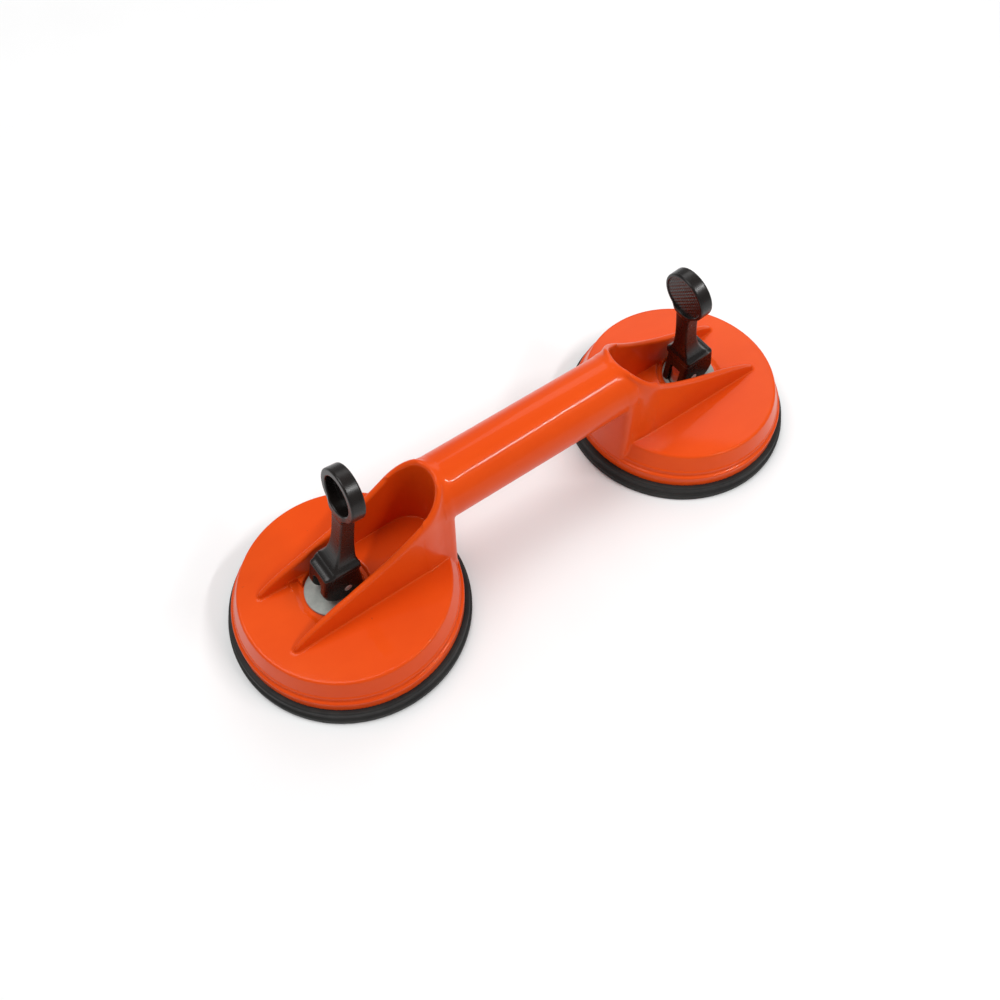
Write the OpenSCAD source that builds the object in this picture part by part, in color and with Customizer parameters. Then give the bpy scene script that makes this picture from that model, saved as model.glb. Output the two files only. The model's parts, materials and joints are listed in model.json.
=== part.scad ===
// Hand suction lifter with two lever-operated cups under one round handle.
// Each cup is described in its own frame: centre at the origin, +X pointing outwards, away from
// the handle, floor at z = 0. The right cup is shifted by half the pitch, the left one mirrored.

/* [Layout] */
// Distance between the centres of the two cups
cup_pitch = 211; // [205:1:230]

/* [Suction disc] */
// Outer diameter of the rubber suction disc
disc_d = 120; // [119:0.5:124]
// Height of the disc's rim, from the floor to the cap's flange
disc_h = 8.7; // [8.7:0.1:9.5]
// Diameter of the steel plate moulded into the disc
core_d = 72; // [50:1:80]
// Thickness of that plate
core_t = 1.6; // [1.2:0.1:2]

/* [Cap] */
// Diameter of the cap's lower flange
flange_d = 112.8; // [112:0.2:115]
// Diameter of the flat top plate
plate_d = 102.4; // [101:0.2:104]
// Height of the flat top plate above the floor
plate_z = 27.3; // [27:0.1:29]
// Wall thickness of the moulding
wall_t = 3.4; // [2.8:0.1:4]

/* [Riser] */
// Half width of the lever pocket between the two walls
pocket_w = 14.6; // [14.5:0.1:15.5]
// Thickness of the pocket's walls
riser_t = 3.8; // [3:0.1:4]
// Distance from the cup's centre to the centre of the pocket's round end
pocket_back = 36.6; // [34:0.1:37]
// Height of the raised pocket floor over the top plate
floor_rise = 2.5; // [1.5:0.1:3]

/* [Handle] */
// Diameter of the round handle
handle_d = 32; // [28:0.5:33]
// Height of the handle's axis above the floor
handle_z = 61.6; // [60:0.1:66]

/* [Stud and washer] */
// Diameter of the stud that pulls the disc's middle up
stud_d = 12; // [11:0.5:12.5]
// Thickness of the stud's flat tang
tang_t = 6; // [4:0.5:6]
// Diameter of the thrust washer under the lever
washer_d = 28.4; // [26:0.2:28.4]
// Thickness of that washer
washer_t = 1.6; // [1:0.1:2]
// Distance of the washer's centre outwards of the cup's centre
washer_out = 6; // [4:0.5:6]

/* [Lever] */
// Distance of the pivot pin outwards of the cup's centre
pin_out = 1.5; // [0:0.5:1.5]
// Diameter of the pivot pin
pin_d = 4; // [3:0.5:4.5]
// Height of the pin over the washer with the lever upright
pin_rise = 7.1; // [6.5:0.1:8]
// Lift of the pin for each radian that the lever turns
cam_rate = 3.5; // [2.5:0.1:4]
// Width of the lever's forked end
fork_w = 15; // [13:0.5:15.5]
// Diameter of the lever's round thumb pad
pad_d = 26; // [22:0.5:27]
// Thickness of the thumb pad
pad_t = 7; // [6:0.5:8]
// Lean of the upright lever's arm towards the handle, in degrees
arm_lean = 8; // [4:0.5:10]

/* [Hidden] */
$fn = 96;

orange = "#f05a1e";
rubber_black = "#232323";
lever_black = "#1b1614";
steel = "#a9adaa";

// Overlap of joined pieces, and how far a cut runs past what it cuts
eps = 0.01;
lap = 1;
disc_r = disc_d / 2;
flange_r = flange_d / 2;
plate_r = plate_d / 2;
handle_r = handle_d / 2;
stud_r = stud_d / 2;
pin_r = pin_d / 2;
pad_r = pad_d / 2;

// Clearances
slide_gap = 0.1;
moulded_gap = 0.3;
pin_gap = 0.05;
cam_gap = 0.15;
tang_gap = 0.4;
sink_gap = 0.3;
washer_gap = 0.4;

// Cap heights, from the flange up
flange_top = 14.6;
flange_break = 0.7;
skirt_t = 4;
step_z = 16.8;
step_r = 54.8;
step_break = 0.4;
shoulder_z = 18.2;
shoulder_r = 54.2;
edge_r = 1.2;
boss_r = 10;
boss_bottom = 14.5;
rib_t = 2.4;
rib_h = 6;
rib_count = 8;

// Seat around the washer
recess_depth = 0.6;
seat_z = plate_z - recess_depth;
floor_z = plate_z + floor_rise;
floor_cut_r = 17.2;
horn_end = 22.5;
washer_top = seat_z + washer_t;
pin_z = washer_top + pin_rise;
// The stud's round part ends under the washer even when the lever is down
shaft_top = washer_top - cam_rate * PI / 2 - sink_gap;

// Riser walls
riser_w = pocket_w + riser_t;
riser_foot = 13.1;
tip_out = 38;
handle_top = handle_z + handle_r;
crest = [[tip_out, plate_z - 0.3], [26, 42], [-20, 46], [-50, handle_top]];
crest_steps = 24;
column_w = 17.3;
column_inset = 0.3;

// Disc heights
lip_h = 3.6;
lip_in = 1.1;
lip_step = 1;
rim_break = 0.8;
ring_break = 0.5;
dish = 0.6;
dish_run = 8;
lip_inner_r = 42;
web_top = 7;
web_r = 46;
land_r = 47.5;
core_z = 3;
collar_r = 8;
collar_t = 2;
spigot_r = 4;
locating_h = 2.6;
rim_gap = 0.4;
land_step = 1;

// Lever, measured from the pin
pin_proud = 0.2;
fork_top = 16.2;
fork_in = 7.5;
foot_in = 8.5;
fork_out_top = 9.8;
slot_w = tang_t + 2 * tang_gap;
slot_top_in = 5.9;
slot_top_out = 10.5;
neck_base = 12.5;
neck_flare = 5;
pad_height = 46.6;
arm_top = 34;
arm_lap = 5;
arm_sink = 1.5;
arm_steps = 12;
arm_side = [[neck_base, 0], [8, 6], [7.5, 14], [pad_t, arm_top]];
arm_front = [[fork_w / 2, 0], [3.8, 5], [3.8, 16], [neck_flare, arm_top]];
pad_recess_r = 9.4;
pad_recess = 4.5;
texture_r = 11.4;
texture_depth = 0.5;
quarter = 90;
cam_steps = 15;

// A point on the cubic curve through four control points
function bezier(p, t) =
    pow(1 - t, 3) * p[0] + 3 * t * pow(1 - t, 2) * p[1] + 3 * t * t * (1 - t) * p[2] + pow(t, 3) * p[3];

// The whole of that curve in equal steps
function curve(p, steps) = [for (i = [0:steps]) bezier(p, i / steps)];

// Points along an arc, with the angles in degrees
function arc(centre, r, from, to, steps) = [
    for (i = [0:steps])
        let (a = from + (to - from) * i / steps)
        centre + r * [cos(a), sin(a)]
];

// Outline of the cam: its reach below the pin grows evenly with the lever's angle
function cam_reach(a) = pin_rise - cam_gap + cam_rate * a * PI / 180;
function cam_point(a) = [
    cam_reach(a) * sin(a) + cam_rate * cos(a),
    -cam_reach(a) * cos(a) + cam_rate * sin(a)
];

// Places a child, described in a cup's own frame, at the right or the left cup
module at_cup(side) {
    if (side == "right")
        translate([cup_pitch / 2, 0, 0]) children();
    else
        translate([-cup_pitch / 2, 0, 0]) mirror([1, 0, 0]) children();
}

// Extrudes an outline drawn in X and Z evenly to both sides of the XZ plane
module across(width) {
    rotate([90, 0, 0]) linear_extrude(height = width, center = true) children();
}

// ---- Orange moulding ----

module cap_outside() {
    rotate_extrude()
        polygon(concat(
            [[0, disc_h], [flange_r, disc_h], [flange_r, flange_top - flange_break]],
            [[flange_r - flange_break, flange_top], [step_r, step_z - step_break]],
            [[step_r - step_break, step_z]],
            [[shoulder_r, shoulder_z]],
            arc([plate_r - edge_r, plate_z - edge_r], edge_r, 12, quarter, 6),
            [[0, plate_z]]
        ));
}

module cap_inside() {
    rotate_extrude()
        polygon([
            [0, disc_h - lap],
            [flange_r - skirt_t, disc_h - lap],
            [flange_r - skirt_t, shoulder_z - wall_t],
            [plate_r - wall_t, plate_z - wall_t],
            [0, plate_z - wall_t]
        ]);
}

module ribs_inside() {
    rib_top = plate_z - wall_t + eps;
    for (i = [0:rib_count - 1])
        rotate([0, 0, (i + 0.5) * 360 / rib_count])
            translate([boss_r - lap, -rib_t / 2, rib_top - rib_h])
                cube([plate_r - wall_t - boss_r, rib_t, rib_h]);
}

// Plan of the U around the pocket, open on its outer side
module pocket_plan(half_width, outer_end) {
    translate([-pocket_back, 0]) circle(r = half_width);
    translate([-pocket_back, -half_width]) square([pocket_back + outer_end, 2 * half_width]);
}

module crest_profile() {
    polygon(concat(
        [[-pocket_back - riser_w - lap, handle_top], [-pocket_back - riser_w - lap, riser_foot - lap]],
        [[tip_out, riser_foot - lap]],
        curve(crest, crest_steps)
    ));
}

module riser() {
    intersection() {
        translate([0, 0, riser_foot])
            linear_extrude(height = handle_top) pocket_plan(riser_w, tip_out + lap);
        across(2 * (riser_w + lap)) crest_profile();
    }
}

// Foot of the handle's end: a straight block that reaches out to the cap's flange
module column() {
    intersection() {
        translate([0, 0, riser_foot]) cylinder(r = flange_r - column_inset, h = handle_z - riser_foot);
        translate([-flange_r, -column_w, riser_foot])
            cube([flange_r - pocket_back, 2 * column_w, handle_z - riser_foot]);
    }
}

module half_handle() {
    translate([-cup_pitch / 2 - eps, 0, handle_z])
        rotate([0, quarter, 0]) cylinder(r = handle_r, h = cup_pitch / 2 - pocket_back - pocket_w - lap);
}

// Everything that is cut from above: the pocket, the seat round the washer and the stud's bore
module pocket_cut() {
    translate([0, 0, floor_z])
        linear_extrude(height = handle_top) pocket_plan(pocket_w, tip_out + 2 * lap);
    translate([horn_end, -pocket_w, plate_z])
        cube([tip_out, 2 * pocket_w, handle_top]);
    translate([washer_out, 0, seat_z])
        linear_extrude(height = floor_rise + lap)
            intersection() {
                circle(r = floor_cut_r);
                square([2 * floor_cut_r, 2 * pocket_w], center = true);
            }
    translate([0, 0, boss_bottom - lap])
        cylinder(r = stud_r + slide_gap, h = plate_z);
}

// Raised floor of the pocket, with a horn left on each side of the washer
module pocket_floor() {
    translate([0, 0, plate_z - lap])
        linear_extrude(height = floor_rise + lap)
            pocket_plan(pocket_w + lap, horn_end);
}

module cup_moulding() {
    difference() {
        union() {
            difference() {
                union() {
                    cap_outside();
                    riser();
                    column();
                    pocket_floor();
                }
                cap_inside();
            }
            ribs_inside();
            translate([0, 0, boss_bottom]) cylinder(r = boss_r, h = plate_z - boss_bottom - lap);
            half_handle();
        }
        pocket_cut();
    }
}

module handle_body() {
    color(orange) {
        at_cup("right") cup_moulding();
        at_cup("left") cup_moulding();
    }
}

// ---- Rubber disc with its steel plate and stud ----

module suction_disc(side) {
    bed_r = core_d / 2 + moulded_gap;
    neck_r = collar_r + moulded_gap;
    wall_r = flange_r - skirt_t - rim_gap;
    color(rubber_black)
        at_cup(side)
            rotate_extrude()
                polygon([
                    [0, dish], [lip_inner_r - dish_run, dish], [lip_inner_r, 0],
                    [disc_r - rim_break, 0], [disc_r, rim_break], [disc_r, lip_h],
                    [disc_r - lip_in, lip_h + lip_step], [disc_r - lip_in, disc_h - ring_break],
                    [disc_r - lip_in - ring_break, disc_h], [wall_r, disc_h],
                    [wall_r - ring_break, disc_h + locating_h], [land_r, disc_h + locating_h],
                    [land_r - land_step, disc_h - land_step], [web_r, web_top], [neck_r, web_top],
                    [neck_r, core_z + core_t + moulded_gap], [bed_r, core_z + core_t + moulded_gap],
                    [bed_r, core_z - moulded_gap], [0, core_z - moulded_gap]
                ]);
}

module core_plate(side) {
    color(steel)
        at_cup(side)
            translate([0, 0, core_z])
                difference() {
                    cylinder(d = core_d, h = core_t);
                    translate([0, 0, -lap]) cylinder(r = spigot_r, h = core_t + 2 * lap);
                }
}

module draw_stud(side) {
    collar_z = core_z + core_t;
    color(steel)
        at_cup(side)
            difference() {
                union() {
                    translate([0, 0, core_z]) cylinder(r = spigot_r, h = core_t);
                    translate([0, 0, collar_z]) cylinder(r = collar_r, h = collar_t);
                    translate([0, 0, collar_z]) cylinder(r = stud_r, h = shaft_top - collar_z);
                    tang();
                }
                translate([pin_out, 0, pin_z])
                    rotate([quarter, 0, 0])
                        cylinder(r = pin_r + pin_gap, h = fork_w, center = true);
            }
}

// Flat end of the stud, no wider than its shaft, so that it goes up through the cap's bore
module tang() {
    tang_foot = shaft_top - lap;
    intersection() {
        translate([0, 0, tang_foot]) cylinder(r = stud_r, h = pin_z + stud_r - tang_foot + lap);
        union() {
            translate([-stud_r, -tang_t / 2, tang_foot]) cube([2 * stud_r, tang_t, pin_z - tang_foot]);
            translate([0, 0, pin_z])
                rotate([quarter, 0, 0])
                    cylinder(r = stud_r, h = tang_t, center = true);
        }
    }
}

// ---- Washer, pin and lever ----

module thrust_washer(side) {
    color(steel)
        at_cup(side)
            difference() {
                translate([washer_out, 0, seat_z]) cylinder(d = washer_d, h = washer_t);
                translate([0, 0, seat_z - lap]) cylinder(r = stud_r + washer_gap, h = washer_t + 2 * lap);
            }
}

module pivot_pin(side) {
    color(steel)
        at_cup(side)
            translate([pin_out, 0, pin_z])
                rotate([quarter, 0, 0])
                    cylinder(r = pin_r, h = fork_w + 2 * pin_proud, center = true);
}

module fork() {
    difference() {
        across(fork_w)
            polygon(concat(
                [[-fork_in, fork_top], [-foot_in, -pin_rise + cam_gap]],
                [for (i = [0:cam_steps]) cam_point(i * quarter / cam_steps)],
                [[fork_out_top, fork_top]]
            ));
        translate([-2 * foot_in, -slot_w / 2, -2 * pin_rise])
            cube([6 * foot_in, slot_w, 2 * pin_rise + slot_top_in]);
        translate([-stud_r / 2, -slot_w / 2, 0])
            cube([4 * foot_in, slot_w, slot_top_out - slot_w / 2]);
        translate([-stud_r / 2, 0, slot_top_out - slot_w / 2])
            rotate([0, quarter, 0]) cylinder(d = slot_w, h = 4 * foot_in);
        rotate([quarter, 0, 0]) cylinder(r = pin_r, h = 2 * fork_w, center = true);
    }
}

// Arm of the lever, standing on the fork's inner shoulder with its inner face at x = 0
module arm() {
    difference() {
        union() {
            intersection() {
                across(fork_w)
                    polygon(concat(
                        [[0, -arm_sink], [neck_base, -arm_sink]],
                        curve(arm_side, arm_steps),
                        [[0, arm_top]]
                    ));
                translate([-lap, 0, 0])
                    rotate([quarter, 0, quarter])
                        linear_extrude(height = 2 * neck_base) front_outline(curve(arm_front, arm_steps));
            }
            translate([0, 0, pad_height]) rotate([0, quarter, 0]) cylinder(r = pad_r, h = pad_t);
            translate([0, -neck_flare, arm_top - lap]) cube([pad_t, 2 * neck_flare, arm_lap]);
        }
        translate([pad_t - pad_recess, 0, pad_height])
            rotate([0, quarter, 0]) cylinder(r = pad_recess_r, h = pad_t);
        translate([texture_depth - pad_t, 0, pad_height])
            rotate([0, quarter, 0]) cylinder(r = texture_r, h = pad_t);
    }
}

// The arm's outline seen along the handle, the same on both sides
module front_outline(points) {
    edge = concat([[points[0][0], -arm_sink]], points);
    polygon(concat(edge, [for (i = [len(edge) - 1:-1:0]) [-edge[i][0], edge[i][1]]]));
}

module lever(side) {
    color(lever_black)
        at_cup(side)
            translate([pin_out, 0, pin_z]) {
                fork();
                translate([-fork_in, 0, fork_top]) rotate([0, -arm_lean, 0]) arm();
            }
}

module suction_disc_left() { suction_disc("left"); }
module suction_disc_right() { suction_disc("right"); }
module core_plate_left() { core_plate("left"); }
module core_plate_right() { core_plate("right"); }
module draw_stud_left() { draw_stud("left"); }
module draw_stud_right() { draw_stud("right"); }
module thrust_washer_left() { thrust_washer("left"); }
module thrust_washer_right() { thrust_washer("right"); }
module pivot_pin_left() { pivot_pin("left"); }
module pivot_pin_right() { pivot_pin("right"); }
module lever_left() { lever("left"); }
module lever_right() { lever("right"); }

handle_body();
suction_disc_left();
suction_disc_right();
core_plate_left();
core_plate_right();
draw_stud_left();
draw_stud_right();
thrust_washer_left();
thrust_washer_right();
pivot_pin_left();
pivot_pin_right();
lever_left();
lever_right();
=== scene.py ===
"""Twin-cup hand suction lifter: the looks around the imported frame. Lengths are in millimetres inside
the shape functions and in metres on every Blender object."""
import json
import math

import bpy
import numpy as np
from mathutils import Matrix, Vector


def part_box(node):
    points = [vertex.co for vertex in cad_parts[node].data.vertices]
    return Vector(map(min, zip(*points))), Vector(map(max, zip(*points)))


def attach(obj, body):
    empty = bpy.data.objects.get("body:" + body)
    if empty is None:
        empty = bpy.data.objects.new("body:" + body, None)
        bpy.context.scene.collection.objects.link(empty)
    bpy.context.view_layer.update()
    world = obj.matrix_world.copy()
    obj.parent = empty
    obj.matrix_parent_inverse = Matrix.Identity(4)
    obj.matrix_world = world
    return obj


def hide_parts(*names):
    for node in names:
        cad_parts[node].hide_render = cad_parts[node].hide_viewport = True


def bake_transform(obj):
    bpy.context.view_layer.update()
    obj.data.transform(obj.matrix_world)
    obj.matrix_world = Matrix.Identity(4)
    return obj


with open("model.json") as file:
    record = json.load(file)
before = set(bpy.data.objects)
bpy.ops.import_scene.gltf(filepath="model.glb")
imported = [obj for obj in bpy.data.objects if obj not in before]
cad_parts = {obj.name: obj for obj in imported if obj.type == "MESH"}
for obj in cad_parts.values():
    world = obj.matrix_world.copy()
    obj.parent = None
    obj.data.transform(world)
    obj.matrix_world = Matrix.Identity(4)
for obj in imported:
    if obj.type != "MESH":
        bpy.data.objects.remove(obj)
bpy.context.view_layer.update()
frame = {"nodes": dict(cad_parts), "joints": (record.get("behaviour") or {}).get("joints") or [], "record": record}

MM = 0.001
SIDES = ("left", "right")


# ---------------------------------------------------------------- sizes taken from the frame

def box_mm(node):
    low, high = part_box(node)
    return np.array(low) / MM, np.array(high) / MM


body_low, body_high = box_mm("handle_body")
disc_low, disc_high = box_mm("suction_disc_right")
washer_low, washer_high = box_mm("thrust_washer_right")

cup_x = (disc_low[0] + disc_high[0]) / 2
disc_r = (disc_high[0] - disc_low[0]) / 2
flange_z = body_low[2]
flange_r = body_high[0] - cup_x
handle_top = body_high[2]
washer_z = washer_low[2]
washer_top = washer_high[2]
washer_r = (washer_high[0] - washer_low[0]) / 2
washer_out = (washer_high[0] + washer_low[0]) / 2 - cup_x

hinge = next(j for j in frame["joints"] if j["name"] == "lever_fold_right")
pin_x, pin_z = hinge["pos_m"][0] / MM, hinge["pos_m"][2] / MM
pin_rise = pin_z - washer_top
lift_rate = next(
    c["ratio"] for c in frame["record"]["behaviour"]["couplings"] if c["joint"] == "stud_lift_right"
) / MM

# ---------------------------------------------------------------- sizes of the moulding
HANDLE_R = 16.0
HANDLE_Z = handle_top - HANDLE_R
PLATE_R = 51.2
PLATE_Z = 27.3
WALL = 3.4
SEAT_Z = washer_z
FLOOR_Z = PLATE_Z + 2.5
POCKET_W = 14.3
POCKET_TIP_W = 15.6
FLARE_START = 12.0     # the pocket widens from here to its open end
LAP = 1.0              # the deck reaches this far into the walls and the plate
POCKET_BACK = 36.6
RISER_TIP_W = 18.8
RISER_END_W = 18.4
COLUMN_W = 17.4
COLUMN_DRAFT = 0.03
FOOT_Z = 14.0
TIP_OUT = 38.0
HORN_END = 22.5
SEAT_R = 17.2
RECESS_R = 22.0
RECESS_SLOPE = 0.3     # the recess round the washer rises towards the plate's edge
RECESS_START = 17.5
RECESS_INSET = 0.3
BOSS_R = 10.0
BOSS_Z = 14.5
BORE_R = 6.1
HORN_R = 2.6
HORN_IN = 9.6
RIBS = 8
CREST = np.array([[TIP_OUT - 0.4, PLATE_Z + 1.6], [26.5, 42.5], [-20, 46], [-50, handle_top]])
COLUMN_INSET = 0.3     # the walls and the column stop this far inside the flange's edge
TUBE_LAP = 2.0         # the handle runs this far into the pocket's round end
HORN_START = 8.0       # how far inwards of the washer's centre a horn begins
HORN_GAP = 0.6
SEAT_GAP = 0.5
RIB_T = 2.4
RIB_H = 6.0
BORE_OVER = 3.0        # the bore is cut up to this height over the seat

# how far each edge or corner of the moulding is rounded
CREST_EDGE = 2.4
COLLAR_EDGE = 1.5
TIP_EDGE = 2.6
COLUMN_EDGE = 3.0
COLUMN_FILLET = 1.6
TUBE_FILLET = 1.2
POCKET_EDGE = 2.0
PLATE_FILLET = 1.0
DECK_EDGE = 1.4
DECK_FILLET = 0.5
SEAT_EDGE = 0.4
BORE_EDGE = 0.3


# ---------------------------------------------------------------- curves and distance fields

def bezier(points, steps):
    """Points along the cubic curve through four control points."""
    t = np.linspace(0, 1, steps + 1)[:, None]
    a, b, c, d = (np.asarray(q, float) for q in points)
    return (1 - t) ** 3 * a + 3 * t * (1 - t) ** 2 * b + 3 * t * t * (1 - t) * c + t ** 3 * d


def rounded(corners, steps=6):
    """A closed outline from (x, y, radius) corners, each rounded by an arc of its radius."""
    points = []
    count = len(corners)
    for i, (x, y, radius) in enumerate(corners):
        here = np.array([x, y], float)
        if radius <= 0:
            points.append(here)
            continue
        before = np.array(corners[i - 1][:2], float) - here
        after = np.array(corners[(i + 1) % count][:2], float) - here
        before /= np.linalg.norm(before)
        after /= np.linalg.norm(after)
        half = math.acos(np.clip(before @ after, -1, 1)) / 2
        reach = radius / math.tan(half)
        middle = (before + after) / np.linalg.norm(before + after)
        centre = here + middle * radius / math.sin(half)
        start, end = here + before * reach - centre, here + after * reach - centre
        for t in np.linspace(0, 1, steps + 1):
            arm = start * (1 - t) + end * t
            points.append(centre + arm * radius / np.linalg.norm(arm))
    return np.array(points)


def outline(x, y, points):
    """Signed distance from (x, y) to a closed outline, negative inside."""
    best = np.full(x.shape, 1e12)
    inside = np.zeros(x.shape, bool)
    for (x0, y0), (x1, y1) in zip(points, np.roll(points, -1, 0)):
        ex, ey = x1 - x0, y1 - y0
        length = ex * ex + ey * ey
        if length < 1e-12:
            continue
        dx, dy = x - x0, y - y0
        t = np.clip((dx * ex + dy * ey) / length, 0, 1)
        best = np.minimum(best, (dx - t * ex) ** 2 + (dy - t * ey) ** 2)
        if ey:
            inside ^= ((y0 <= y) != (y1 <= y)) & (x < x0 + dy * ex / ey)
    return np.where(inside, -1, 1) * np.sqrt(best)


def join(a, b, fillet):
    """Union of two fields, with a fillet of about that size between them."""
    h = np.maximum(fillet - np.abs(a - b), 0) / fillet
    return np.minimum(a, b) - h * h * fillet / 4


def overlap(a, b, fillet):
    """Intersection of two fields, with the edge between them rounded."""
    return -join(-a, -b, fillet)


def cut(a, b, fillet):
    """a without b, with the edge between them rounded."""
    return overlap(a, -b, fillet)


# ---------------------------------------------------------------- meshing a field

BLOCK = 8
BLOCK_MARGIN = 1.5


def sampled(field, axes, step):
    """The field at every grid node. Blocks that the surface can't reach keep their centre's value."""
    shape = [len(a) for a in axes]
    counts = [-(-n // BLOCK) for n in shape]
    centres = [a[0] + step * (BLOCK * np.arange(n) + (BLOCK - 1) / 2) for a, n in zip(axes, counts)]
    grid = np.stack(np.meshgrid(*centres, indexing="ij"), -1).reshape(-1, 3)
    rough = field(grid).reshape(counts)
    values = rough
    for axis in range(3):
        values = np.repeat(values, BLOCK, axis)
    values = values[:shape[0], :shape[1], :shape[2]].astype(np.float32)
    near = np.argwhere(np.abs(rough) < step * BLOCK * BLOCK_MARGIN)
    offsets = np.stack(np.meshgrid(*[np.arange(BLOCK)] * 3, indexing="ij"), -1).reshape(1, -1, 3)
    nodes = (near[:, None, :] * BLOCK + offsets).reshape(-1, 3)
    nodes = nodes[(nodes < shape).all(1)]
    points = np.stack([axes[a][nodes[:, a]] for a in range(3)], -1)
    values[tuple(nodes.T)] = field(points)
    return values


def gradient(field, points, reach=0.02):
    """Direction in which the field grows, from central differences."""
    result = np.empty_like(points)
    for axis in range(3):
        shift = np.zeros(3)
        shift[axis] = reach
        result[:, axis] = (field(points + shift) - field(points - shift)) / (2 * reach)
    return result


def surface(field, low, high, step, mirrored):
    """Vertices and quads of the field's zero level. An axis in mirrored is meshed on its positive
    side only and copied across its plane, where the two halves share their vertices."""
    axes = []
    for a in range(3):
        start = -step / 2 if a in mirrored else low[a]
        axes.append(start + step * np.arange(int(math.ceil((high[a] - start) / step)) + 1))
    values = sampled(field, axes, step)
    solid = values < 0
    corners = [(i, j, k) for i in (0, 1) for j in (0, 1) for k in (0, 1)]
    size = np.array(values.shape) - 1
    filled = np.zeros(size, np.int8)
    for i, j, k in corners:
        filled += solid[i:i + size[0], j:j + size[1], k:k + size[2]]
    cells = np.argwhere((filled > 0) & (filled < 8))
    index = np.full(size, -1)
    index[tuple(cells.T)] = np.arange(len(cells))
    total = np.zeros((len(cells), 3))
    hits = np.zeros(len(cells))
    for a in corners:
        for axis in range(3):
            if a[axis]:
                continue
            b = tuple(1 if n == axis else a[n] for n in range(3))
            va = values[tuple((cells + a).T)].astype(float)
            vb = values[tuple((cells + b).T)].astype(float)
            crosses = (va < 0) != (vb < 0)
            t = np.where(crosses, va / np.where(crosses, va - vb, 1), 0)
            point = np.array(a, float) + t[:, None] * (np.array(b) - np.array(a))
            total += np.where(crosses[:, None], point, 0)
            hits += crosses
    start = np.array([a[0] for a in axes])
    points = start + step * (cells + total / hits[:, None])
    quads = []
    for axis in range(3):
        b, c = (axis + 1) % 3, (axis + 2) % 3
        lower = [slice(None)] * 3
        upper = [slice(None)] * 3
        lower[axis], upper[axis] = slice(0, -1), slice(1, None)
        changes = solid[tuple(lower)] != solid[tuple(upper)]
        edges = np.argwhere(changes)
        inner = (edges[:, b] > 0) & (edges[:, c] > 0)
        inner &= (edges[:, b] < size[b]) & (edges[:, c] < size[c])
        edges = edges[inner]
        ring = []
        for db, dc in ((-1, -1), (0, -1), (0, 0), (-1, 0)):
            cell = edges.copy()
            cell[:, b] += db
            cell[:, c] += dc
            ring.append(index[tuple(cell.T)])
        ring = np.stack(ring, -1)
        outward = solid[tuple(edges.T)]
        quads.append(np.where(outward[:, None], ring, ring[:, ::-1]))
    quads = np.concatenate(quads)
    on_plane = {a: cells[:, a] == 0 for a in mirrored}
    for _ in range(3):
        slope = gradient(field, points)
        points -= slope * (field(points) / np.maximum((slope ** 2).sum(1), 0.2))[:, None]
        for a, flat in on_plane.items():
            points[flat, a] = 0
    for a in mirrored:
        flat = points[:, a] == 0
        twin = np.arange(len(points))
        twin[~flat] = len(points) + np.arange((~flat).sum())
        copy = points[~flat].copy()
        copy[:, a] *= -1
        quads = np.concatenate([quads, twin[quads[:, ::-1]]])
        points = np.concatenate([points, copy])
    return points, quads


# ---------------------------------------------------------------- Blender objects

def add_mesh(name, points, faces):
    """A new smooth-shaded object from points in metres."""
    mesh = bpy.data.meshes.new(name)
    mesh.from_pydata(np.asarray(points, float).tolist(), [], [list(map(int, f)) for f in faces])
    mesh.update()
    mesh.shade_smooth()
    piece = bpy.data.objects.new(name, mesh)
    bpy.context.scene.collection.objects.link(piece)
    return piece


def set_normals(piece, normals):
    """Exact shading normals, one for each vertex."""
    normals = normals / np.linalg.norm(normals, axis=1)[:, None]
    piece.data.normals_split_custom_set_from_vertices(normals.tolist())


def turned(name, profile, segments, centre, axis="Z", crease=35):
    """A turned piece: (radius, height) points in millimetres round an axis through centre."""
    angles = 2 * math.pi * np.arange(segments) / segments
    points, rows = [], []
    for radius, height in profile:
        if radius < 1e-6:
            rows.append([len(points)] * segments)
            points.append((0, 0, height))
        else:
            rows.append(list(range(len(points), len(points) + segments)))
            points += [(radius * math.cos(a), radius * math.sin(a), height) for a in angles]
    faces = []
    for lower, upper in zip(rows, rows[1:]):
        for i in range(segments):
            j = (i + 1) % segments
            face = [lower[i], lower[j], upper[j], upper[i]]
            face = [v for n, v in enumerate(face) if v != face[n - 1]]
            if len(face) > 2:
                faces.append(face)
    points = np.array(points, float)
    if axis == "Y":
        points = points[:, [1, 2, 0]]
    piece = add_mesh(name, (points + np.array(centre, float)) * MM, faces)
    piece.data.set_sharp_from_angle(angle=math.radians(crease))
    return piece


def finish_piece(piece, body, slot, material, *nodes):
    """Gives a piece its body and its finish, and hides the CAD nodes that it stands for."""
    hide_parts(*nodes)
    piece.data.materials.clear()
    piece.data.materials.append(material)
    if body:
        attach(piece, body)
    return piece


# ---------------------------------------------------------------- the orange moulding

SINK = 0.3             # the skirt's edge sits this deep in the rubber
CAP_OUTSIDE = rounded([
    (-20, flange_z - SINK, 0), (flange_r, flange_z - SINK, 0), (flange_r, 14.9, 0.9), (54.9, 15.5, 0.35),
    (54.7, 17.8, 0.5), (54.1, 18.5, 0.5), (PLATE_R, PLATE_Z, 1.3), (-20, PLATE_Z, 0),
])
CAP_INSIDE = rounded([
    (-20, flange_z - 5, 0), (52.4, flange_z - 5, 0), (52.4, 14.8, 0.6),
    (PLATE_R - WALL, PLATE_Z - WALL, 1), (-20, PLATE_Z - WALL, 0),
])
CREST_LINE = bezier(CREST, 40)[::-1]
CREST_SLOPE = 0.85


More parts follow.
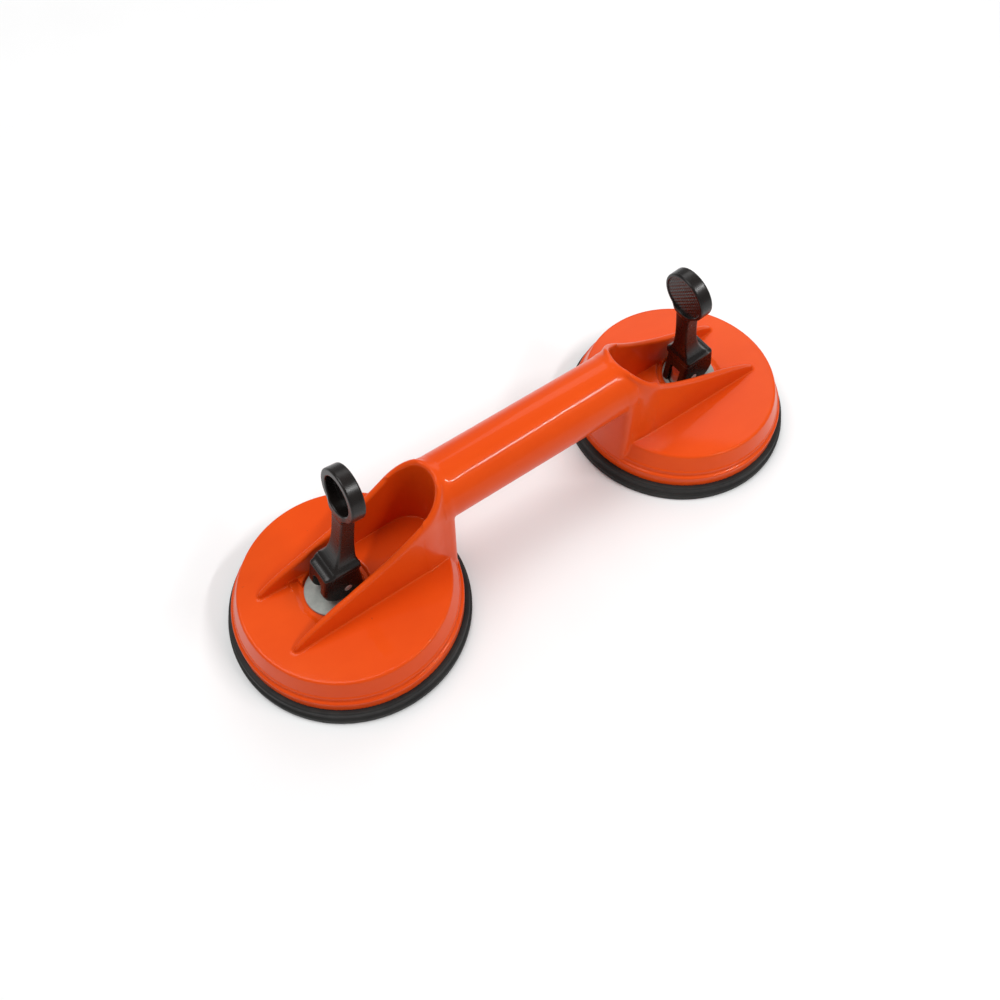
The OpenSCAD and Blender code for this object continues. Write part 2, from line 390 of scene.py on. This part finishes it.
def riser_walls(u, v, z):
    """The walls round the pocket before it is cut: a long U whose top follows the crest."""
    back = np.hypot(np.minimum(u + POCKET_BACK, 0), v)
    collar = np.hypot(v, np.maximum(z - HANDLE_Z, 0)) - RISER_END_W
    share = np.clip((u + POCKET_BACK) / (TIP_OUT + POCKET_BACK), 0, 1)
    width = RISER_END_W + (RISER_TIP_W - RISER_END_W) * share - COLUMN_DRAFT / 2 * (z - PLATE_Z)
    top = np.interp(u, CREST_LINE[:, 0], CREST_LINE[:, 1])
    walls = overlap(back - width, (z - top) * CREST_SLOPE, CREST_EDGE)
    return overlap(overlap(walls, collar, COLLAR_EDGE), u - TIP_OUT, TIP_EDGE)


def column(u, v, r, z):
    """The straight block under the handle's end, which reaches out to the cap's flange."""
    width = COLUMN_W - COLUMN_DRAFT * (z - PLATE_Z)
    side = np.hypot(v, np.maximum(z - HANDLE_Z, 0)) - width
    block = overlap(side, r - flange_r + COLUMN_INSET, COLUMN_EDGE)
    return np.maximum(block, u + POCKET_BACK)


def upper_part(u, v, r, z, side):
    """The walls, the handle and its foot, with the lever's pocket cut out of them."""
    walls = join(riser_walls(u, v, z), column(u, v, r, z), COLUMN_FILLET)
    walls = np.maximum(np.maximum(walls, r - flange_r + COLUMN_INSET), FOOT_Z - z)
    tube_end = u + POCKET_BACK + POCKET_W - TUBE_LAP
    tube = np.maximum(np.hypot(v, z - HANDLE_Z) - HANDLE_R, tube_end)
    return cut(join(walls, tube, TUBE_FILLET), side, POCKET_EDGE)


def deck(u, v, z, side):
    """The raised floor of the pocket, with a rounded horn on each side of the washer's seat."""
    seat = np.hypot(u - washer_out, v) - SEAT_R
    sheet = np.maximum(np.maximum(u - washer_out, -seat), side - LAP)
    horn_out = POCKET_W + LAP
    across = np.abs(v - (HORN_IN + horn_out) / 2) - (horn_out - HORN_IN) / 2
    horn = np.maximum(np.maximum(across, u - HORN_END), washer_out - HORN_START - u)
    tip = np.hypot(np.maximum(u - HORN_END + HORN_R, 0), np.maximum(HORN_IN + HORN_R - v, 0)) - HORN_R
    horn = np.maximum(np.maximum(horn, tip), washer_r + HORN_GAP - np.hypot(u - washer_out, v))
    plan = np.minimum(sheet, horn)
    return np.maximum(overlap(plan, z - FLOOR_Z, DECK_EDGE), PLATE_Z - LAP - z)


def moulding(p):
    """Distance field of the orange body in the object's own frame."""
    u, v, z = np.abs(p[:, 0]) - cup_x, np.abs(p[:, 1]), p[:, 2]
    r = np.hypot(u, v)
    flare = np.clip((u - FLARE_START) / (TIP_OUT - FLARE_START), 0, 1)
    inner_w = POCKET_W + (POCKET_TIP_W - POCKET_W) * flare
    side = np.hypot(np.minimum(u + POCKET_BACK, 0), v) - inner_w
    shape = join(outline(r, z, CAP_OUTSIDE), upper_part(u, v, r, z, side), PLATE_FILLET)
    shape = join(shape, deck(u, v, z, side), DECK_FILLET)
    seat = np.maximum(np.hypot(u - washer_out, v) - washer_r - SEAT_GAP, SEAT_Z - z)
    shape = cut(shape, seat, SEAT_EDGE)
    dip = SEAT_Z + RECESS_SLOPE * np.maximum(0, r - RECESS_R)
    recess = np.maximum(np.maximum(dip - z, side + RECESS_INSET), RECESS_START - u)
    shape = np.maximum(shape, -recess)
    hollow = inside_of_cap(r, u, v, z)
    bore = np.maximum(r - BORE_R, z - SEAT_Z - BORE_OVER)
    return cut(np.maximum(shape, -hollow), bore, BORE_EDGE)


def inside_of_cap(r, u, v, z):
    """The hollow under the cap, with its boss and ribs left standing."""
    hollow = outline(r, z, CAP_INSIDE)
    turn = 2 * math.pi / RIBS
    angle = np.mod(np.arctan2(v, u), turn) - turn / 2
    rib = np.maximum(np.abs(r * np.sin(angle)) - RIB_T / 2, PLATE_Z - WALL - RIB_H - z)
    boss = np.maximum(r - BOSS_R, BOSS_Z - z)
    return np.maximum(hollow, -np.minimum(rib, boss))


def make_body(material):
    step = 0.65
    low = (0, 0, flange_z - 2 * step)
    high = (cup_x + flange_r + 2 * step, flange_r + 2 * step, handle_top + 2 * step)
    points, quads = surface(moulding, low, high, step, (0, 1))
    piece = add_mesh("moulded_body", points * MM, quads)
    set_normals(piece, gradient(moulding, points))
    return finish_piece(piece, "frame", "orange_plastic", material, "handle_body")


# ---------------------------------------------------------------- the levers

CAM_GAP = 0.15
FORK_TOP = 16.2
FORK_HALF = 7.5
FORK_IN = 7.5
SLOT_HALF = 3.4
ARM_LEAN = math.radians(8)
NECK_BASE = 12.5
PAD_R = 13.0
PAD_T = 7.0
PAD_HEIGHT = 46.6
PAD_RECESS_R = 9.4
PAD_RECESS = 4.5
TEXTURE_R = 11.3
TEXTURE_PITCH = 2.4
TEXTURE_DEEP = 0.5
TEXTURE_RISE = 0.18
FORK_FOOT_IN = 8.5
FORK_TOP_OUT = 9.8
SLOT_TOP_IN = 5.9
ARCH_Z = 7.1
ARCH_IN = 5.0
ARM_TOP = 40.0
ARM_SINK = 1.5
ARM_FLATTEN = 0.9
FORK_SHRINK = 0.2
PIN_BORE_R = 2.0

# how far each edge or corner of a lever is rounded
FORK_EDGE = 1.8
FORK_TOP_EDGE = 1.6
ARM_EDGE = 1.3
ARM_TOP_EDGE = 1.0
PAD_EDGE = 1.0
NECK_FILLET = 3.0
SHOULDER_FILLET = 4.0
PAD_RECESS_EDGE = 0.8
TEXTURE_EDGE = 0.25
SLOT_EDGE = 0.6
PIN_BORE_EDGE = 0.2

ARM_SIDE = bezier([[NECK_BASE, 0], [PAD_T + 1, 6], [PAD_T + 0.5, 14], [PAD_T, 34]], 16)
ARM_FRONT = bezier([[FORK_HALF, 0], [3.8, 5], [3.8, 16], [5, PAD_HEIGHT - 10]], 16)


def cam_outline():
    """Side view of the fork round the pin: the reach grows evenly with the lever's angle."""
    angles = np.radians(np.linspace(0, 90, 19))
    reach = pin_rise - CAM_GAP + lift_rate * angles
    x = reach * np.sin(angles) + lift_rate * np.cos(angles)
    z = -reach * np.cos(angles) + lift_rate * np.sin(angles)
    start = [(-FORK_IN, FORK_TOP), (-FORK_FOOT_IN, -pin_rise + CAM_GAP)]
    return np.array(start + list(zip(x, z)) + [(FORK_TOP_OUT, FORK_TOP)])


CAM = cam_outline()


def lever_shape(p):
    """Distance field of a lever round its pin, x outwards from the handle."""
    x, y, z = p[:, 0], np.abs(p[:, 1]), p[:, 2]
    fork = overlap(outline(x, z, CAM), y - FORK_HALF, FORK_EDGE)
    fork = overlap(fork, z - FORK_TOP + FORK_SHRINK, FORK_TOP_EDGE)
    ax, az = x + FORK_IN, z - FORK_TOP
    c, s = math.cos(ARM_LEAN), math.sin(ARM_LEAN)
    ax, az = ax * c + az * s, -ax * s + az * c
    thick = np.interp(az, ARM_SIDE[:, 1], ARM_SIDE[:, 0])
    wide = np.interp(az, ARM_FRONT[:, 1], ARM_FRONT[:, 0])
    arm = overlap(np.maximum(-ax, ax - thick), (y - wide) * ARM_FLATTEN, ARM_EDGE)
    arm = np.maximum(overlap(arm, az - ARM_TOP, ARM_TOP_EDGE), -ARM_SINK - az)
    round_pad = np.hypot(y, az - PAD_HEIGHT)
    pad = overlap(round_pad - PAD_R, np.abs(ax - PAD_T / 2) - PAD_T / 2, PAD_EDGE)
    shape = join(join(arm, pad, NECK_FILLET), fork, SHOULDER_FILLET)
    pad_recess = np.maximum(round_pad - PAD_RECESS_R, PAD_T - PAD_RECESS - ax)
    shape = cut(shape, pad_recess, PAD_RECESS_EDGE)
    first, second = (p[:, 1] + az) / TEXTURE_PITCH, (p[:, 1] - az) / TEXTURE_PITCH
    knurl = np.abs(first - np.round(first)) + np.abs(second - np.round(second))
    face = TEXTURE_DEEP - TEXTURE_RISE * knurl
    shape = cut(shape, np.maximum(round_pad - TEXTURE_R, ax - face), TEXTURE_EDGE)
    slot = np.maximum(y - SLOT_HALF, z - SLOT_TOP_IN)
    arch = np.where(z > ARCH_Z, np.hypot(y, z - ARCH_Z), y) - SLOT_HALF
    slot = np.minimum(slot, np.maximum(arch, -ARCH_IN - x))
    shape = cut(shape, slot, SLOT_EDGE)
    return cut(shape, np.hypot(x, z) - PIN_BORE_R, PIN_BORE_EDGE)


def make_lever(side, material):
    step = 0.32
    low, high = (-22, 0, -pin_rise - 1), (14, PAD_R + 1, 80)
    points, quads = surface(lever_shape, low, high, step, (1,))
    normals = gradient(lever_shape, points)
    points = points + np.array([pin_x, 0, pin_z])
    if side == "left":
        flip = np.array([-1, 1, 1])
        points, normals, quads = points * flip, normals * flip, quads[:, ::-1]
    piece = add_mesh("cam_lever_" + side, points * MM, quads)
    set_normals(piece, normals)
    return finish_piece(piece, "lever_" + side, "black_plastic", material, "lever_" + side)


# ---------------------------------------------------------------- rubber, washers, pins, studs

def disc_profile():
    """Section of the rubber disc, from the middle of its underside round to its middle on top."""
    lip_in = disc_r - 1.1
    corners = [
        (0, 0.6, 0), (34, 0.6, 2), (42, 0, 1.5), (46, 0, 0.2), (46.5, 0.45, 0.2), (47.5, 0.45, 0.2),
        (48, 0, 0.2), (51, 0, 0.2), (51.5, 0.45, 0.2), (52.5, 0.45, 0.2), (53, 0, 0.2),
        (disc_r, 0, 0.9), (disc_r, 3.4, 0.8), (lip_in, 4.3, 0.5), (lip_in, flange_z, 0.9),
        (51.6, flange_z, 0), (51, disc_high[2], 0.6), (47.5, disc_high[2], 0.6),
        (46.5, 7.8, 1), (44, 7, 1), (0, 7, 0),
    ]
    points = rounded(corners, 5)
    fine = []
    for a, b in zip(points, points[1:]):
        parts = max(1, int(np.hypot(*(b - a)) / 2.0))
        fine += [a + (b - a) * i / parts for i in range(parts)]
    return fine + [points[-1]]


def make_disc(side, material):
    sign = 1 if side == "right" else -1
    centre = (sign * cup_x, 0, 0)
    piece = turned("rubber_disc_" + side, disc_profile(), 180, centre, crease=40)
    finish_piece(piece, None, "black_rubber", material, "suction_disc_" + side)
    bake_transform(piece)
    return piece


def make_washer(side, material):
    sign = 1 if side == "right" else -1
    chamfer = 0.25
    hole_r = 6.4
    segments = 128
    outer = [(washer_r, chamfer), (washer_r, washer_top - washer_z - chamfer)]
    angles = 2 * math.pi * np.arange(segments) / segments
    rings = [
        (0, washer_r - chamfer, 0), (0, *outer[0]), (0, *outer[1]),
        (0, washer_r - chamfer, washer_top - washer_z),
        (1, hole_r + chamfer, washer_top - washer_z), (1, hole_r, washer_top - washer_z - chamfer),
        (1, hole_r, chamfer), (1, hole_r + chamfer, 0),
    ]
    points = []
    for is_hole, radius, height in rings:
        offset = 0 if is_hole else washer_out
        points += [(sign * (cup_x + offset + radius * math.cos(a)), radius * math.sin(a), washer_z + height)
                   for a in angles]
    faces = []
    count = len(rings)
    for n in range(count):
        for i in range(segments):
            j = (i + 1) % segments
            m = (n + 1) % count
            face = [n * segments + i, n * segments + j, m * segments + j, m * segments + i]
            faces.append(face if sign > 0 else face[::-1])
    piece = add_mesh("steel_washer_" + side, np.array(points) * MM, faces)
    piece.data.set_sharp_from_angle(angle=math.radians(30))
    return finish_piece(piece, "frame", "washer_steel", material, "thrust_washer_" + side)


PIN_DOME = 0.5


def make_pin(side, material):
    sign = 1 if side == "right" else -1
    low, high = box_mm("pivot_pin_" + side)
    radius, half = (high[0] - low[0]) / 2, (high[1] - low[1]) / 2
    turns = np.linspace(0, math.pi / 2, 9)
    dome = [(radius * math.sin(a), half - PIN_DOME * (1 - math.cos(a))) for a in turns]
    profile = [(x, -y) for x, y in dome] + dome[::-1]
    piece = turned("steel_pin_" + side, profile, 64, (sign * pin_x, 0, pin_z), axis="Y")
    return finish_piece(piece, "lever_" + side, "pin_steel", material, "pivot_pin_" + side)


# ---------------------------------------------------------------- materials

class Finish:
    """A small builder for node materials."""

    def __init__(self, name):
        self.material = bpy.data.materials.new(name)
        self.material.use_nodes = True
        self.tree = self.material.node_tree
        self.shader = self.tree.nodes["Principled BSDF"]
        self.place = self.node("ShaderNodeTexCoord").outputs["Object"]

    def node(self, kind, **settings):
        node = self.tree.nodes.new(kind)
        for key, value in settings.items():
            setattr(node, key, value)
        return node

    def link(self, source, target):
        self.tree.links.new(source, target)

    def set(self, **values):
        for key, value in values.items():
            self.shader.inputs[key.replace("_", " ")].default_value = value

    def noise(self, scale, detail=3.0, roughness=0.55, stretch=None):
        node = self.node("ShaderNodeTexNoise")
        node.inputs["Scale"].default_value = scale
        node.inputs["Detail"].default_value = detail
        node.inputs["Roughness"].default_value = roughness
        source = self.place
        if stretch:
            mapping = self.node("ShaderNodeMapping")
            mapping.inputs["Scale"].default_value = stretch
            self.link(source, mapping.inputs["Vector"])
            source = mapping.outputs["Vector"]
        self.link(source, node.inputs["Vector"])
        return node.outputs["Fac"]

    def ramp(self, source, stops):
        node = self.node("ShaderNodeValToRGB")
        node.color_ramp.elements[0].position, node.color_ramp.elements[0].color = stops[0]
        node.color_ramp.elements[1].position, node.color_ramp.elements[1].color = stops[1]
        self.link(source, node.inputs["Fac"])
        return node.outputs["Color"]

    def span(self, source, low, high):
        node = self.node("ShaderNodeMapRange")
        node.inputs["To Min"].default_value = low
        node.inputs["To Max"].default_value = high
        self.link(source, node.inputs["Value"])
        return node.outputs["Result"]

    def mix(self, share, a, b):
        node = self.node("ShaderNodeMix", data_type="RGBA")
        self.link(share, node.inputs["Factor"])
        for value, socket in ((a, node.inputs[6]), (b, node.inputs[7])):
            if isinstance(value, tuple):
                socket.default_value = value
            else:
                self.link(value, socket)
        return node.outputs[2]

    def bump(self, *layers):
        """Layers of (height, strength, depth in millimetres), the finest last."""
        normal = None
        for height, strength, depth in layers:
            node = self.node("ShaderNodeBump")
            node.inputs["Strength"].default_value = strength
            node.inputs["Distance"].default_value = depth * MM
            self.link(height, node.inputs["Height"])
            if normal:
                self.link(normal, node.inputs["Normal"])
            normal = node.outputs["Normal"]
        self.link(normal, self.shader.inputs["Normal"])

    def color(self, source):
        self.link(source, self.shader.inputs["Base Color"])

    def roughness(self, source):
        self.link(source, self.shader.inputs["Roughness"])


def orange_plastic():
    m = Finish("orange_plastic")
    flow = m.noise(22, 4, 0.6, (1, 1.6, 1.6))
    tone = m.ramp(flow, [(0.3, (0.70, 0.062, 0.004, 1)), (0.7, (0.75, 0.074, 0.005, 1))])
    specks = m.ramp(m.noise(900, 2), [(0.74, (0, 0, 0, 1)), (0.8, (1, 1, 1, 1))])
    m.color(m.mix(specks, tone, (0.48, 0.05, 0.012, 1)))
    m.roughness(m.span(m.noise(60, 4, 0.7), 0.24, 0.38))
    m.bump((m.noise(120, 3), 0.12, 0.12), (m.noise(900, 2), 0.10, 0.02))
    m.set(IOR=1.48, Specular_IOR_Level=0.16, Specular_Tint=(1, 0.5, 0.25, 1))
    m.set(Coat_Weight=0.2, Coat_Roughness=0.05)
    return m.material


def black_rubber():
    m = Finish("black_rubber")
    dust = m.noise(45, 5, 0.65)
    tone = m.ramp(dust, [(0.35, (0.006, 0.006, 0.006, 1)), (0.75, (0.022, 0.021, 0.019, 1))])
    m.color(tone)
    m.roughness(m.span(m.noise(140, 4), 0.5, 0.78))
    m.bump((m.noise(260, 4), 0.25, 0.1), (m.noise(1500, 2), 0.3, 0.03))
    m.set(Specular_IOR_Level=0.35)
    return m.material


def black_plastic():
    m = Finish("black_plastic")
    tone = m.ramp(m.noise(70, 4), [(0.3, (0.004, 0.003, 0.003, 1)), (0.7, (0.009, 0.006, 0.005, 1))])
    m.color(tone)
    m.roughness(m.span(m.noise(240, 5, 0.7), 0.2, 0.36))
    m.bump((m.noise(500, 3), 0.22, 0.06), (m.noise(2500, 2), 0.2, 0.015))
    m.set(IOR=1.5, Specular_IOR_Level=0.32)
    return m.material


STEEL_GRAIN = 300


def steel(name, dark, light, low, high, metallic=1.0):
    m = Finish(name)
    tone = m.ramp(m.noise(STEEL_GRAIN, 4, 0.65), [(0.3, (*dark, 1)), (0.7, (*light, 1))])
    m.color(tone)
    m.roughness(m.span(m.noise(STEEL_GRAIN * 2.5, 4, 0.7), low, high))
    m.bump((m.noise(STEEL_GRAIN * 4, 3), 0.2, 0.02))
    m.set(Metallic=metallic)
    return m.material


# ---------------------------------------------------------------- build

orange = orange_plastic()
rubber = black_rubber()
nylon = black_plastic()
washer_finish = steel("washer_steel", (0.26, 0.28, 0.26), (0.36, 0.38, 0.35), 0.45, 0.62, metallic=0.25)
stud_finish = steel("stud_steel", (0.42, 0.42, 0.42), (0.6, 0.6, 0.6), 0.25, 0.42)
pin_finish = steel("pin_steel", (0.66, 0.66, 0.63), (0.8, 0.8, 0.76), 0.34, 0.46, metallic=0.6)
zinc_finish = steel("zinc_steel", (0.5, 0.51, 0.52), (0.66, 0.67, 0.68), 0.3, 0.5)

make_body(orange)
for side in SIDES:
    make_lever(side, nylon)
    make_disc(side, rubber)
    make_washer(side, washer_finish)
    make_pin(side, pin_finish)
    for node, finish in (("draw_stud_", stud_finish), ("core_plate_", zinc_finish)):
        part = frame["nodes"][node + side]
        part.data.materials.clear()
        part.data.materials.append(finish)


# ---------------------------------------------------------------- floor, lights, camera

def make_floor():
    size = 6.0
    corners = [(-size, -size, 0), (size, -size, 0), (size, size, 0), (-size, size, 0)]
    floor = add_mesh("floor", corners, [(0, 1, 2, 3)])
    m = Finish("pale_floor")
    m.color(m.ramp(m.noise(8, 3), [(0.2, (0.86, 0.86, 0.86, 1)), (0.8, (0.9, 0.9, 0.9, 1))]))
    m.set(Roughness=0.9)
    floor.data.materials.append(m.material)


def area_light(name, place, target, size, power):
    data = bpy.data.lights.new(name, "AREA")
    data.shape = "RECTANGLE"
    data.size, data.size_y = size
    data.energy = power
    lamp = bpy.data.objects.new(name, data)
    lamp.location = place
    lamp.rotation_euler = (Vector(target) - Vector(place)).to_track_quat("-Z", "Y").to_euler()
    bpy.context.scene.collection.objects.link(lamp)


WORLD_STRENGTH = 0.42


def make_lights():
    world = bpy.data.worlds.new("studio")
    world.use_nodes = True
    background = world.node_tree.nodes["Background"]
    background.inputs["Color"].default_value = (1, 1, 1, 1)
    background.inputs["Strength"].default_value = WORLD_STRENGTH
    bpy.context.scene.world = world
    bpy.context.scene.view_settings.view_transform = "Standard"
    area_light("key", (-0.4, 0.4, 1.7), target=(0, 0, 0.03), size=(1.0, 1.0), power=15.5)
    area_light("fill", (0.9, 0.9, 1.2), target=(0, 0, 0.03), size=(1.0, 0.6), power=4)
    area_light("strip", (0.55, -0.66, 1.2), target=(0, 0, 0.06), size=(0.7, 0.05), power=8)


VIEW_AZIMUTH = -36.8
VIEW_ELEVATION = 58.0
VIEW_ROLL = 0.9
VIEW_DISTANCE = 0.5431
VIEW_SHIFT = (-0.01156, 0.00145)
LENS = 36.9


def make_camera():
    a, e, roll = (math.radians(x) for x in (VIEW_AZIMUTH, VIEW_ELEVATION, VIEW_ROLL))
    back = Vector((math.sin(a) * math.cos(e), -math.cos(a) * math.cos(e), math.sin(e)))
    level = Vector((math.cos(a), math.sin(a), 0))
    upright = back.cross(level)
    right = level * math.cos(roll) + upright * math.sin(roll)
    up = upright * math.cos(roll) - level * math.sin(roll)
    place = back * VIEW_DISTANCE + right * VIEW_SHIFT[0] + up * VIEW_SHIFT[1]
    data = bpy.data.cameras.new("camera")
    data.lens = LENS
    data.sensor_width = 36
    camera = bpy.data.objects.new("camera", data)
    camera.matrix_world = Matrix((
        (right.x, up.x, back.x, place.x),
        (right.y, up.y, back.y, place.y),
        (right.z, up.z, back.z, place.z),
        (0, 0, 0, 1),
    ))
    bpy.context.scene.collection.objects.link(camera)
    bpy.context.scene.camera = camera


make_floor()
make_lights()
make_camera()
